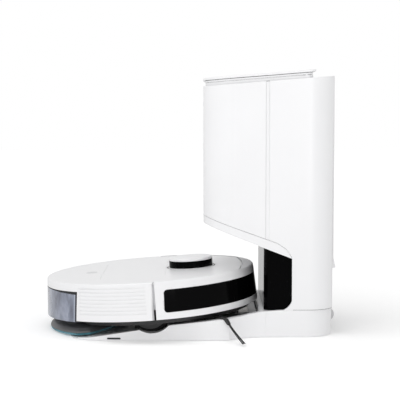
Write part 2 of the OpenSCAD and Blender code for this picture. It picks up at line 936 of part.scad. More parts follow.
module wheel_hub(s) {
  at_robot() scale([s, 1, 1]) difference() {
    union() {
      rod_x(wheel_x0, wheel_x0 + wheel_w - 1, 0, wheel_z, wheel_r - 7);
      rod_x(wheel_x0 + wheel_w - 2, wheel_x0 + wheel_w + 0.4, 0, wheel_z, 12);
    }
    rod_x(wheel_x0 - 1, 108.4, 0, wheel_z, 4.06);
    for (a = [0:72:288])
      translate([0, 17.5 * cos(a), wheel_z + 17.5 * sin(a)])
        rod_x(wheel_x0 + wheel_w - 4, wheel_x0 + wheel_w + 1, 0, 0, 4.2);
  }
}

module wheel_hub_left() {
  color("darkgray") wheel_hub(-1);
}

module wheel_hub_right() {
  color("darkgray") wheel_hub(1);
}

module tyre(s) {
  at_robot() scale([s, 1, 1]) difference() {
    union() {
      rod_x(wheel_x0, wheel_x0 + wheel_w, 0, wheel_z, wheel_r - 2);
      for (a = [0:15:345])
        translate([wheel_x0, 0, wheel_z]) rotate([a, 0, 0])
          translate([0, -1.6, wheel_r - 4]) cube([wheel_w, 3.2, 3.9]);
    }
    rod_x(wheel_x0 - 1, wheel_x0 + wheel_w + 1, 0, wheel_z, wheel_r - 7);
  }
}

module tyre_left() {
  color("black") tyre(-1);
}

module tyre_right() {
  color("black") tyre(1);
}

module caster_fork() {
  color("gray") at_robot() translate([0, caster_y, 0]) {
    translate([0, 0, tray_z + 11]) cylinder(h = 3, r = 17);
    translate([0, 0, tray_z + 14 - e]) cylinder(h = 12, r = 4);
    difference() {
      for (s = [-1, 1])
        block(s * 9.5 - 1.5, s * 9.5 + 1.5, -9, 5, 6, tray_z + 11.5);
      rod_x(-20, 20, -4, 11, 1.5);
    }
    rod_x(-11, 11, -4, 11, 1.5);
  }
}

module caster_wheel() {
  color("dimgray") at_robot() translate([0, caster_y, 0]) difference() {
    rod_x(-7.5, 7.5, -4, 11, 10.5);
    rod_x(-9, 9, -4, 11, 1.56);
  }
}

// ---------- robot: brushes ----------

module side_brush() {
  translate([sb_x, sb_y, 0]) {
    translate([0, 0, 7]) cylinder(h = 4.7, r = 13);
    translate([0, 0, 11.7 - e]) cylinder(h = 9, r = 5);
    for (a = [sb_dir, sb_dir + 120, sb_dir + 240])
      rotate([0, 0, a]) block(8, brush_arm, -3.5, 3.5, 10.1, 11.6);
  }
}

module side_brush_right() {
  color("black") at_robot() side_brush();
}

module side_brush_left() {
  color("black") at_robot() mirror([1, 0, 0]) side_brush();
}

// bristle tuft as a bent strip: its turn about the hub and its side outline
module tuft(a, path) {
  translate([sb_x, sb_y, 0]) rotate([0, 0, a]) translate([0, 2, 0]) rotate([90, 0, 0])
    linear_extrude(height = 4) polygon(path);
}

module bristles() {
  tuft(sb_dir, [[46, 11.6], [51, 11.2], [57, 6], [103, -21.6], [101.8, -23.2], [55, 4.6],
                [50, 9.9], [46, 10.1]]);
  tuft(sb_dir + 120, [[46, 11.6], [56, 11], [70, 8.4], [69.7, 6.9], [56, 9.5], [46, 10.1]]);
  tuft(sb_dir + 240, [[46, 11.6], [58, 10.8], [57.8, 9.3], [46, 10.1]]);
}

module bristles_right() {
  color("black") at_robot() bristles();
}

module bristles_left() {
  color("black") at_robot() mirror([1, 0, 0]) bristles();
}

module main_brush() {
  color("dimgray") at_robot() {
    rod_x(-roller_len / 2, roller_len / 2, roller_y, roller_z, 8);
    rod_x(-roller_len / 2 - 8.5, roller_len / 2 + 8.5, roller_y, roller_z, 3);
    for (a = [0:60:300])
      translate([-roller_len / 2 + 2, roller_y, roller_z]) rotate([a, 0, 0])
        translate([0, -1.2, 6]) cube([roller_len - 4, 2.4, roller_r - 6.1]);
  }
}

// ---------- drawing ----------
station_base();
base_floor_plate();
base_feet();
ramp_treads();
port_seal();
suction_duct();
front_panel();
overhang_trim();
tower_front_shell();
tower_rear_shell();
bag_chamber();
lid_collar();
lid_hinge_pin();
lid_seal();
dust_bag();
bag_holder();
station_fan();
exhaust_grille();
mains_inlet();
cord_rests();
status_lens();
tower_lid();
station_contact_left();
station_contact_right();
chassis_tray();
body_shell();
robot_contacts();
turret_base();
turret_window();
turret_cap();
lidar_rotor();
dust_bin();
bin_filter();
suction_fan();
battery();
brush_guard();
cliff_windows();
deck_lid();
power_button();
bumper_shell();
bumper_window();
front_sensor_window();
water_tank();
tank_plug();
tank_latch();
mop_plate();
mop_pad();
wheel_arm_left();
wheel_arm_right();
wheel_hub_left();
wheel_hub_right();
tyre_left();
tyre_right();
caster_fork();
caster_wheel();
side_brush_left();
side_brush_right();
bristles_left();
bristles_right();
main_brush();
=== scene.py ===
"""Robot vacuum parked on its self-emptying station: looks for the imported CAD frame."""

import json
import math
import random

import bmesh
import bpy
from mathutils import Matrix, Vector


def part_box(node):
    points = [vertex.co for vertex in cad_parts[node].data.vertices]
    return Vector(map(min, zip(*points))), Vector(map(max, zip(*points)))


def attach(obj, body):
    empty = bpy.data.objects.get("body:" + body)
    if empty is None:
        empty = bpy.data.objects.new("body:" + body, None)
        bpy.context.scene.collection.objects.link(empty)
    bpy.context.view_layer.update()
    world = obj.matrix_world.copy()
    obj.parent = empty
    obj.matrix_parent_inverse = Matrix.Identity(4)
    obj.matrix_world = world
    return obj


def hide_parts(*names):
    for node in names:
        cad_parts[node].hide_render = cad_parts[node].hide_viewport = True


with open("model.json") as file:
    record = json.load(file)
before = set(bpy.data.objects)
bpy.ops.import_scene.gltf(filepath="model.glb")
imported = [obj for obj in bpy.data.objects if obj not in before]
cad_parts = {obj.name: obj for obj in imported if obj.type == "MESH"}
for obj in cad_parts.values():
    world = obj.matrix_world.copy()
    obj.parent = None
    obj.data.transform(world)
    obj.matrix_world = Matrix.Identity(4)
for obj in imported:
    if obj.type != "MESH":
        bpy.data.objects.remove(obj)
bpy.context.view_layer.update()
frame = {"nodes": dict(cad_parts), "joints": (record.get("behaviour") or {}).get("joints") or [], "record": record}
nodes = frame["nodes"]
body_of = {n: b for b, ns in frame["record"]["behaviour"]["bodies"].items() for n in ns}
joint = {j["name"]: j for j in frame["joints"]}
slot_of = {p["node"]: p["material_slot"] for p in frame["record"]["subparts"]}

# ---------- places worked out from the frame ----------

MM = 0.001

# the robot's own axes: up is the lidar's axis, whose place in them is 68.7 mm ahead and 80 up
UP = Vector(joint["lidar_spin"]["axis"]).normalized()
SIDE = Vector((1, 0, 0))
AHEAD = UP.cross(SIDE).normalized()
LIDAR_AHEAD, LIDAR_UP = 68.7, 80.0
ORIGIN = (Vector(joint["lidar_spin"]["pos_m"]) - AHEAD * (LIDAR_AHEAD * MM)
          - UP * (LIDAR_UP * MM))
TO_ROBOT = Matrix((
    (SIDE.x, AHEAD.x, UP.x, ORIGIN.x),
    (SIDE.y, AHEAD.y, UP.y, ORIGIN.y),
    (SIDE.z, AHEAD.z, UP.z, ORIGIN.z),
    (0, 0, 0, 1),
))

# sizes in the robot's axes, in millimetres
R_LOW, R_TOP, Z_LOW, DECK = 176.5, 172.9, 20.0, 79.0  # side wall at its foot and at the deck
SPLIT, GAP = 9.3, 12.3                                # where body ends and bumper begins
WIN_LOW, WIN_HIGH, WIN_START, WIN_CORNER, WIN_THICK = 30.3, 66.2, 26.6, 5.6, 1.6
WIN_LEAN = -0.00016                                   # the window's ends lean with height
WIN_FIT = 0.15                                        # play round each pane
WIN_END_STEPS = (0.003, 0.007, 0.013, 0.02, 0.028)    # radians from the window's end
R_MID, R_GAP = 175.0, 174.0                           # side wall at mid height, near the gap
RIM_R, RIM_ARC, RIM_FRONT = 169.8, 557.0, 155.7       # inner edge of the bumper's rim
SENSOR_HALF = math.radians(35)
TURRET = (0.0, LIDAR_AHEAD)
TANK_HALF, TANK_TOP = 132.0, 65.8
DROP = math.tan(math.radians(3.87))                   # the docked robot's pitch

# the station: corner radius in millimetres, and the slope of its top in degrees
TOWER_CORNER, TOP_SLOPE = 44.0, 4.46

# ---------- camera, floor and light ----------

LENS, SENSOR = 116.1, 36
CAMERA_PLACE = (2.1585, 0.0198, 0.3739)
CAMERA_DOWN, CAMERA_TURN = 4.31, 0.07  # degrees below level, and off the X axis
FLOOR_HALF = 8.0
FLOOR_GLOW = (0.21, 0.52)      # the floor's own light near the object and far from it
FLOOR_GLOW_REACH = (0.3, 2.2)  # metres from the object where it starts and stops rising
FLOOR_MIRRORED = 0.8           # the floor's brightness in reflections
WORLD_SEEN, WORLD_GIVEN, WORLD_MIRRORED = 1.0, 0.55, 0.85
# name, place, target, size and power of each lamp
LAMPS = (
    ("key", (2.9, -0.9, 1.5), (0, 0, 0.15), (1.8, 1.8), 15),
    ("top", (0.5, -0.9, 3.2), (0, -0.05, 0.1), (2.6, 2.6), 42),
    ("fill", (2.0, 0.62, 0.3), (0.02, 0.05, 0.08), (0.5, 0.4), 3.5),
)


def make_camera():
    """Camera fitted to the outlines of the robot and the station."""
    data = bpy.data.cameras.new("camera")
    data.lens, data.sensor_width = LENS, SENSOR
    cam = bpy.data.objects.new("camera", data)
    cam.location = CAMERA_PLACE
    cam.rotation_euler = (math.radians(90 - CAMERA_DOWN), 0, math.radians(90 + CAMERA_TURN))
    bpy.context.scene.collection.objects.link(cam)
    bpy.context.scene.camera = cam


def area_light(name, place, target, size, power):
    """White rectangular soft box at a place, facing its target."""
    data = bpy.data.lights.new(name, "AREA")
    data.shape, data.size, data.size_y = "RECTANGLE", size[0], size[1]
    data.energy = power
    lamp = bpy.data.objects.new(name, data)
    lamp.location = place
    lamp.rotation_euler = (Vector(target) - Vector(place)).to_track_quat("-Z", "Y").to_euler()
    bpy.context.scene.collection.objects.link(lamp)


def make_world():
    """Studio surround: white to the camera, dimmer in what it lights and in reflections."""
    world = bpy.data.worlds.new("studio")
    world.use_nodes = True
    ns, links = world.node_tree.nodes, world.node_tree.links
    path = ns.new("ShaderNodeLightPath")
    glow = ns["Background"]
    glow.inputs["Color"].default_value = (1, 1, 1, 1)
    level = None
    for ray, amount in (("Is Glossy Ray", WORLD_MIRRORED), ("Is Camera Ray", WORLD_SEEN)):
        pick = ns.new("ShaderNodeMix")
        pick.inputs["A"].default_value = WORLD_GIVEN
        pick.inputs["B"].default_value = amount
        links.new(path.outputs[ray], pick.inputs["Factor"])
        if level:
            links.new(level, pick.inputs["A"])
        level = pick.outputs["Result"]
    links.new(level, glow.inputs["Strength"])
    bpy.context.scene.world = world


def floor_material():
    """Pale sweep of paper: nearly white with faint fibre, and dimmer in reflections."""
    m, ns, links, bsdf = material("floor_pale")
    where = ns.new("ShaderNodeTexCoord").outputs["Object"]
    fibre = noise(ns, 25, 4, 0.6, where, links)
    paper = ramp(ns, links, fibre.outputs["Fac"],
                 [(0.3, (0.90, 0.90, 0.90)), (0.7, (0.92, 0.92, 0.92))])
    links.new(paper.outputs["Color"], bsdf.inputs["Base Color"])
    bsdf.inputs["Roughness"].default_value = 0.9
    bsdf.inputs["Specular IOR Level"].default_value = 0.0
    bsdf.inputs["Emission Color"].default_value = (1, 1, 1, 1)
    away = ns.new("ShaderNodeVectorMath")
    away.operation = "LENGTH"
    links.new(where, away.inputs[0])
    rise = spread(ns, links, away.outputs["Value"], *FLOOR_GLOW)
    rise.inputs["From Min"].default_value = FLOOR_GLOW_REACH[0]
    rise.inputs["From Max"].default_value = FLOOR_GLOW_REACH[1]
    links.new(rise.outputs["Result"], bsdf.inputs["Emission Strength"])
    path = ns.new("ShaderNodeLightPath")
    dim = ns.new("ShaderNodeMixShader")
    dark = ns.new("ShaderNodeEmission")
    dark.inputs["Color"].default_value = (1, 1, 1, 1)
    dark.inputs["Strength"].default_value = FLOOR_MIRRORED
    links.new(path.outputs["Is Glossy Ray"], dim.inputs["Fac"])
    links.new(bsdf.outputs["BSDF"], dim.inputs[1])
    links.new(dark.outputs["Emission"], dim.inputs[2])
    links.new(dim.outputs["Shader"], ns["Material Output"].inputs["Surface"])
    return m


def make_floor(paper):
    """Wide flat floor, staged, so that it isn't part of the object."""
    mesh = bpy.data.meshes.new("floor")
    half = FLOOR_HALF
    mesh.from_pydata([(-half, -half, 0), (half, -half, 0), (half, half, 0), (-half, half, 0)],
                     [], [(0, 1, 2, 3)])
    floor = bpy.data.objects.new("floor", mesh)
    floor.data.materials.append(paper)
    bpy.context.scene.collection.objects.link(floor)


# ---------- materials ----------

def material(name):
    """A new material with its nodes, its links and its Principled shader."""
    m = bpy.data.materials.new(name)
    m.use_nodes = True
    return m, m.node_tree.nodes, m.node_tree.links, m.node_tree.nodes["Principled BSDF"]


def noise(ns, scale, detail, roughness, coords, links):
    """Noise texture over the given coordinates."""
    n = ns.new("ShaderNodeTexNoise")
    n.inputs["Scale"].default_value = scale
    n.inputs["Detail"].default_value = detail
    n.inputs["Roughness"].default_value = roughness
    links.new(coords, n.inputs["Vector"])
    return n


def ramp(ns, links, source, stops):
    """Colour ramp driven by a value, with (place, colour) stops."""
    r = ns.new("ShaderNodeValToRGB")
    for element, (place, colour) in zip(r.color_ramp.elements, (stops[0], stops[-1])):
        element.position, element.color = place, (*colour, 1)
    for place, colour in stops[1:-1]:
        e = r.color_ramp.elements.new(place)
        e.color = (*colour, 1)
    links.new(source, r.inputs["Fac"])
    return r


def spread(ns, links, source, low_value, high_value):
    """Maps a value between 0 and 1 onto a range."""
    r = ns.new("ShaderNodeMapRange")
    r.inputs["To Min"].default_value = low_value
    r.inputs["To Max"].default_value = high_value
    links.new(source, r.inputs["Value"])
    return r


def bump(ns, links, height, strength, distance):
    """Fine relief in the surface's normal."""
    b = ns.new("ShaderNodeBump")
    b.inputs["Strength"].default_value = strength
    b.inputs["Distance"].default_value = distance
    links.new(height, b.inputs["Height"])
    return b


def moulded(name, colour, rough, grain=0.12, coat=0.0, shade=0.03, scale=900):
    """Injection-moulded plastic: fine spark grain, faint flow mottling, uneven roughness."""
    m, ns, links, bsdf = material(name)
    where = ns.new("ShaderNodeTexCoord").outputs["Object"]
    fine = noise(ns, scale, 2, 0.6, where, links)
    wide = noise(ns, 9, 3, 0.5, where, links)
    dark = tuple(max(c * (1 - shade), 0) for c in colour)
    light = tuple(min(c * (1 + shade), 1) for c in colour)
    links.new(ramp(ns, links, wide.outputs["Fac"], [(0.3, dark), (0.7, light)]).outputs["Color"],
              bsdf.inputs["Base Color"])
    links.new(spread(ns, links, wide.outputs["Fac"], rough * 0.85, rough * 1.15).outputs["Result"],
              bsdf.inputs["Roughness"])
    links.new(bump(ns, links, fine.outputs["Fac"], grain, 0.0002).outputs["Normal"],
              bsdf.inputs["Normal"])
    bsdf.inputs["Coat Weight"].default_value = coat
    bsdf.inputs["Coat Roughness"].default_value = 0.15
    return m


def glossy(name, colour, rough=0.06):
    """Polished dark acrylic with faint smears in its gloss."""
    m, ns, links, bsdf = material(name)
    where = ns.new("ShaderNodeTexCoord").outputs["Object"]
    smear = noise(ns, 14, 4, 0.6, where, links)
    links.new(spread(ns, links, smear.outputs["Fac"], rough, rough + 0.05).outputs["Result"],
              bsdf.inputs["Roughness"])
    tone = noise(ns, 5, 2, 0.5, where, links)
    dark = tuple(c * 0.6 for c in colour)
    links.new(ramp(ns, links, tone.outputs["Fac"], [(0.3, dark), (0.7, colour)]).outputs["Color"],
              bsdf.inputs["Base Color"])
    bsdf.inputs["Specular IOR Level"].default_value = 0.03
    return m


def rubbery(name, colour, rough=0.75):
    """Matt rubber with fine pores and a little dust."""
    m, ns, links, bsdf = material(name)
    where = ns.new("ShaderNodeTexCoord").outputs["Object"]
    fine = noise(ns, 1400, 3, 0.7, where, links)
    dust = noise(ns, 30, 5, 0.65, where, links)
    dusty = tuple(min(c * 1.6 + 0.01, 1) for c in colour)
    links.new(ramp(ns, links, dust.outputs["Fac"], [(0.4, colour), (0.75, dusty)]).outputs["Color"],
              bsdf.inputs["Base Color"])
    links.new(spread(ns, links, dust.outputs["Fac"], rough - 0.1, rough + 0.12).outputs["Result"],
              bsdf.inputs["Roughness"])
    links.new(bump(ns, links, fine.outputs["Fac"], 0.35, 0.0003).outputs["Normal"],
              bsdf.inputs["Normal"])
    return m


def metallic(name, colour):
    """Brushed metal with fine streaks across X."""
    rough = 0.28
    m, ns, links, bsdf = material(name)
    where = ns.new("ShaderNodeTexCoord").outputs["Object"]
    stretch = ns.new("ShaderNodeMapping")
    stretch.inputs["Scale"].default_value = (40, 900, 900)
    links.new(where, stretch.inputs["Vector"])
    brushed = noise(ns, 3, 3, 0.6, stretch.outputs["Vector"], links)
    dark = tuple(c * 0.82 for c in colour)
    links.new(ramp(ns, links, brushed.outputs["Fac"],
                   [(0.35, dark), (0.65, colour)]).outputs["Color"],
              bsdf.inputs["Base Color"])
    links.new(spread(ns, links, brushed.outputs["Fac"], rough * 0.7, rough * 1.4).outputs["Result"],
              bsdf.inputs["Roughness"])
    bsdf.inputs["Metallic"].default_value = 1.0
    return m


def cloth(name, colour, thread, rough=0.9, sheen=0.35, depth=0.0006):
    """Woven or felted cloth: crossing threads, thread-to-thread colour change and a soft sheen."""
    m, ns, links, bsdf = material(name)
    where = ns.new("ShaderNodeTexCoord").outputs["Object"]
    waves = []
    for axis in ("X", "Y"):
        w = ns.new("ShaderNodeTexWave")
        w.bands_direction = axis
        w.inputs["Scale"].default_value = 1 / thread
        w.inputs["Distortion"].default_value = 1.5
        w.inputs["Detail"].default_value = 2
        links.new(where, w.inputs["Vector"])
        waves.append(w)
    weave = ns.new("ShaderNodeMath")
    weave.operation = "MAXIMUM"
    links.new(waves[0].outputs["Fac"], weave.inputs[0])
    links.new(waves[1].outputs["Fac"], weave.inputs[1])
    fuzz = noise(ns, 700, 4, 0.7, where, links)
    height = ns.new("ShaderNodeMath")
    height.operation = "ADD"
    links.new(weave.outputs["Value"], height.inputs[0])
    links.new(fuzz.outputs["Fac"], height.inputs[1])
    patch = noise(ns, 40, 4, 0.6, where, links)
    dark = tuple(c * 0.62 for c in colour)
    light = tuple(min(c * 1.3, 1) for c in colour)
    links.new(ramp(ns, links, patch.outputs["Fac"],
                   [(0.3, dark), (0.5, colour), (0.72, light)]).outputs["Color"],
              bsdf.inputs["Base Color"])
    links.new(bump(ns, links, height.outputs["Value"], 0.5, depth).outputs["Normal"],
              bsdf.inputs["Normal"])
    bsdf.inputs["Roughness"].default_value = rough
    bsdf.inputs["Sheen Weight"].default_value = sheen
    bsdf.inputs["Sheen Roughness"].default_value = 0.5
    return m


def smoked(name, edge):
    """Smoke-tinted clear tank wall, clouded by what is behind it, with a pale line of painted highlight and a dark
    band of painted shade at each end.
    """
    m, ns, links, bsdf = material(name)
    where = ns.new("ShaderNodeTexCoord").outputs["Object"]
    tall = ns.new("ShaderNodeMapping")
    tall.inputs["Scale"].default_value = (1, 1, 0.6)
    links.new(where, tall.inputs["Vector"])
    cloud = noise(ns, 42, 4, 0.55, tall.outputs["Vector"], links)
    cloud.inputs["Distortion"].default_value = 0.25
    haze = ramp(ns, links, cloud.outputs["Fac"],
                [(0.34, (0.17, 0.185, 0.25)), (0.5, (0.29, 0.32, 0.41)), (0.68, (0.5, 0.54, 0.67))])
    # distance from the robot's centre line picks out a pale line of painted highlight and a dark end band of
    # painted shade, where the tank meets the shell
    split = ns.new("ShaderNodeSeparateXYZ")
    links.new(where, split.inputs["Vector"])
    out = ns.new("ShaderNodeMath")
    out.operation = "ABSOLUTE"
    links.new(split.outputs["X"], out.inputs[0])
    tone = haze.outputs["Color"]
    for start, end, colour in ((edge - 0.0042, edge - 0.0036, (0.55, 0.6, 0.72)),
                               (edge - 0.0024, edge - 0.0018, (0.02, 0.02, 0.035))):
        step = spread(ns, links, out.outputs["Value"], 0, 1)
        step.inputs["From Min"].default_value, step.inputs["From Max"].default_value = start, end
        mix = ns.new("ShaderNodeMix")
        mix.data_type = "RGBA"
        mix.inputs["B"].default_value = (*colour, 1)
        links.new(step.outputs["Result"], mix.inputs["Factor"])
        links.new(tone, mix.inputs["A"])
        tone = mix.outputs["Result"]
    links.new(tone, bsdf.inputs["Base Color"])
    links.new(spread(ns, links, cloud.outputs["Fac"], 0.08, 0.22).outputs["Result"],
              bsdf.inputs["Roughness"])
    bsdf.inputs["Transmission Weight"].default_value = 0.35
    bsdf.inputs["IOR"].default_value = 1.49
    bsdf.inputs["Coat Weight"].default_value = 0.4
    bsdf.inputs["Coat Roughness"].default_value = 0.04
    return m


MATERIALS = {
    "white_plastic": moulded("white_plastic", (0.83, 0.83, 0.84), 0.34, 0.05, 0.1, 0.012),
    "white_satin": moulded("white_satin", (0.83, 0.83, 0.84), 0.5, 0.05, shade=0.012),
    "light_plastic": moulded("light_plastic", (0.66, 0.665, 0.68), 0.42, 0.1),
    "grey_plastic": moulded("grey_plastic", (0.1, 0.1, 0.103), 0.45, 0.2),
    "dark_plastic": moulded("dark_plastic", (0.007, 0.007, 0.008), 0.5, 0.25, shade=0.15),
    "black_gloss": glossy("black_gloss", (0.0015, 0.0015, 0.0017)),
    "window_gloss": glossy("window_gloss", (0.003, 0.003, 0.0032), 0.05),
    "rubber_dark": rubbery("rubber_dark", (0.012, 0.012, 0.013)),
    "tyre_rubber": rubbery("tyre_rubber", (0.008, 0.008, 0.0085), 0.8),
    "smoke_tank": smoked("smoke_tank", TANK_HALF * MM),
    "teal_cloth": cloth("teal_cloth", (0.07, 0.27, 0.34), 0.0011),
    "bag_cloth": cloth("bag_cloth", (0.6, 0.61, 0.6), 0.0009, 0.95, 0.15, 0.0003),
    "card": moulded("card", (0.5, 0.38, 0.25), 0.85, 0.5, shade=0.12, scale=500),
    "steel": metallic("steel", (0.72, 0.71, 0.69)),
    "battery_wrap": moulded("battery_wrap", (0.02, 0.09, 0.3), 0.3, 0.05, 0.3),
    "lens": moulded("lens", (0.75, 0.82, 0.9), 0.15, 0.02, 0.8),
    "bristle": rubbery("bristle", (0.006, 0.006, 0.0065), 0.55),
}
satin = MATERIALS["white_satin"].node_tree.nodes["Principled BSDF"]
satin.inputs["Specular IOR Level"].default_value = 0.2


# ---------- finished copies of the CAD nodes ----------

ROUNDED_ANGLE, HARD_ANGLE = 32, 40  # degrees: edges that get rounded, and that stay hard
FLAT_ANGLE = 0.3                    # degrees: faces this close to flat are joined
WELD, SLIVER = 2e-6, 5e-6           # metres: points this close are joined, and edges this short


def edge_groups(edges):
    """Splits edges into the groups that hang together, always in the same order."""
    left = dict.fromkeys(edges)
    groups = []
    while left:
        first = next(iter(left))
        del left[first]
        group, todo = [], [first]
        while todo:
            e = todo.pop()
            group.append(e)
            for v in e.verts:
                for other in v.link_edges:
                    if other in left:
                        del left[other]
                        todo.append(other)
        groups.append(group)
    return groups


def sharper(edge, degrees):
    """True where two faces meet at more than an angle."""
    return len(edge.link_faces) == 2 and edge.calc_face_angle(0) > math.radians(degrees)


def round_edges(bm, width):
    """Rounds the sharp edges, each connected group as far as its own room allows."""
    sharp = [e for e in bm.edges if sharper(e, ROUNDED_ANGLE)]
    sharp.sort(key=lambda e: e.index)
    for group in edge_groups(sharp):
        group = [e for e in group if e.is_valid]
        if group:
            bmesh.ops.bevel(bm, geom=group, offset=width, segments=2, profile=0.5,
                            affect="EDGES", clamp_overlap=True)


def shade_smooth(bm):
    """Smooth shading, apart from the edges that stay hard."""
    for e in bm.edges:
        e.smooth = not sharper(e, HARD_ANGLE)
    for f in bm.faces:
        f.smooth = True


def dress(piece, material_name, body, stands_for):
    """Links a new piece with its even normals, material and body, and hides the nodes it stands for."""
    bpy.context.scene.collection.objects.link(piece)
    even = piece.modifiers.new("even", "WEIGHTED_NORMAL")
    even.keep_sharp = True
    piece.data.materials.clear()
    piece.data.materials.append(MATERIALS[material_name])
    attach(piece, body)
    if stands_for:
        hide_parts(*stands_for)
    return piece


def finished(node, width):
    """A copy of a CAD node with its hard edges rounded over and its curved faces shaded smooth."""
    mesh = nodes[node].data.copy()
    mesh.name = "m_" + node
    bm = bmesh.new()
    bm.from_mesh(mesh)
    bmesh.ops.remove_doubles(bm, verts=bm.verts, dist=WELD)
    bmesh.ops.dissolve_limit(bm, angle_limit=math.radians(FLAT_ANGLE), verts=bm.verts,
                             edges=bm.edges)
    bmesh.ops.dissolve_degenerate(bm, dist=SLIVER, edges=bm.edges)
    round_edges(bm, width)
    shade_smooth(bm)
    bm.to_mesh(mesh)
    bm.free()
    piece = bpy.data.objects.new(node + "_fine", mesh)
    dress(piece, slot_of[node], body_of[node], [node])


# ---------- pieces swept or turned about the robot's own axis ----------

TURN_STEPS = 96
SWEEP_STEP = math.radians(1.5)


def wall(z):
    """Radius of the robot's side wall at a height, in millimetres."""
    return R_LOW - (z - Z_LOW) * (R_LOW - R_TOP) / (DECK - Z_LOW)


def loft(bm, rings, closed=False):
    """Joins rings of equally many points with quads, and caps both ends unless it closes."""
    rows = [[bm.verts.new(p) for p in ring] for ring in rings]
    count = len(rows[0])
    pairs = list(zip(rows, rows[1:])) + ([(rows[-1], rows[0])] if closed else [])
    for one, two in pairs:
        for i in range(count):
            j = (i + 1) % count
            bm.faces.new((one[i], one[j], two[j], two[i]))
    if not closed:
        bm.faces.new(rows[0][::-1])
        bm.faces.new(rows[-1])


def swept(bm, section, angles, lean=0.0):
    """Sweeps a section of (radius, height) points round the robot's axis, leaning with height."""
    rings = []
    for a in angles:
        ring = []
        for r, z in section(a):
            b = a * (1 + lean * (z - WIN_HIGH))
            ring.append((r * math.sin(b), r * math.cos(b), z))
        rings.append(ring)
    loft(bm, rings)


def turned(bm, profile, centre):
    """Turns a closed (radius, height) outline about an upright axis; radius 0 makes a pole."""
    rings = []
    for k in range(TURN_STEPS):
        a = 2 * math.pi * k / TURN_STEPS
        rings.append([(centre[0] + r * math.cos(a), centre[1] + r * math.sin(a), z)
                      for r, z in profile])
    loft(bm, rings, closed=True)
    bmesh.ops.remove_doubles(bm, verts=bm.verts, dist=1e-4)


def corner(r0, z0, radius, steps):
    """Points of a quarter round about a centre, from level to upright."""
    points = []
    for k in range(steps + 1):
        a = math.pi / 2 * (k / steps)
        points.append((r0 + radius * math.cos(a), z0 + radius * math.sin(a)))
    return points


def piece_from(bm, name, body, slot, stands_for=(), mat=None, robot=True):
    """Makes an object of a mesh in millimetres, in the robot's frame or the row frame."""
    bmesh.ops.recalc_face_normals(bm, faces=bm.faces)
    shade_smooth(bm)
    mesh = bpy.data.meshes.new("m_" + name)
    bm.to_mesh(mesh)
    bm.free()
    mesh.transform(Matrix.Scale(MM, 4))
    if robot:
        mesh.transform(TO_ROBOT)
    return dress(bpy.data.objects.new(name, mesh), mat or slot, body, stands_for)


def apply_modifiers(piece):
    """Bakes a piece's modifiers into its mesh."""
    graph = bpy.context.evaluated_depsgraph_get()
    mesh = bpy.data.meshes.new_from_object(piece.evaluated_get(graph))
    piece.modifiers.clear()
    piece.data = mesh


def carve(piece, cutter):
    """Cuts a helper object out of a piece, and removes the helper."""
    cut = piece.modifiers.new("cut", "BOOLEAN")
    cut.operation, cut.object, cut.solver = "DIFFERENCE", cutter, "EXACT"
    piece.modifiers.move(1, 0)
    apply_modifiers(piece)
    bpy.data.objects.remove(cutter)


def spread_angles(first, last):
    """Evenly spread angles, about one sweep step apart."""
    count = max(2, round(abs(last - first) / SWEEP_STEP))
    return [first + (last - first) * k / count for k in range(count + 1)]


def rim_inside(a):
    """Inner radius of the bumper's rim: a circle, flattened by a wide arc at the front."""
    c = RIM_FRONT - RIM_ARC
    arc = c * math.cos(a) + math.sqrt(RIM_ARC ** 2 - (c * math.sin(a)) ** 2)
    return min(RIM_R, arc)


def window_dip(ahead):
    """How far the window's rounded corner cuts in, at a distance from the window's end."""
    if ahead >= WIN_CORNER:
        return 0
    return WIN_CORNER - math.sqrt(max(0, WIN_CORNER ** 2 - (WIN_CORNER - ahead) ** 2))


def make_bumper():
    """Bumper shell: one swept wall with a soft shoulder and a seat sunk for the window."""
    shoulder = 3.4

    def section(a):
        inner = rim_inside(a)
        top = wall(DECK) - 0.2
        outer = [(wall(Z_LOW) - 2.6, Z_LOW), (wall(Z_LOW) - 0.8, Z_LOW),
                 (wall(Z_LOW) - 0.2, Z_LOW + 0.3), (wall(Z_LOW + 1), Z_LOW + 1)]
        outer += [(wall(z), z) for z in (26, WIN_LOW, 40, 50, 60, WIN_HIGH, 71)]
        outer += corner(top - shoulder, DECK + 0.4 - shoulder, shoulder, 8)
        outer += [(inner + 0.5, DECK + 0.4), (inner, DECK - 0.1), (inner, DECK - 2.4)]
        outer += [(wall(70) - 3.4, DECK - 3.6) if inner < wall(70) - 4 else (inner, DECK - 2.6),
                  (wall(70) - 3.2, 70), (wall(40) - 2.8, 40)]
        return outer

    half = math.pi / 2 - math.asin(GAP / R_GAP)
    bm = bmesh.new()
    swept(bm, section, spread_angles(-half, half))
    bumper = piece_from(bm, "bumper_shell_fine", "bumper", "white_plastic", ["bumper_shell"],
                        "white_satin")
    cut = bmesh.new()
    reach = math.acos(WIN_START / R_MID)

    def seat(a):
        dip = window_dip(R_MID * math.cos(a) - WIN_START)
        low, high = WIN_LOW + dip, WIN_HIGH - dip
        return [(wall(low) - WIN_THICK, low), (wall(low) + 4, low), (wall(high) + 4, high),
                (wall(high) - WIN_THICK, high)]

    ends = [reach - t for t in (0.0005, *WIN_END_STEPS)]
    swept(cut, seat, [-e for e in ends] + spread_angles(-reach + 0.04, reach - 0.04) + ends[::-1],
          lean=WIN_LEAN)
    carve(bumper, piece_from(cut, "window_seat_cutter", "bumper", "white_plastic"))


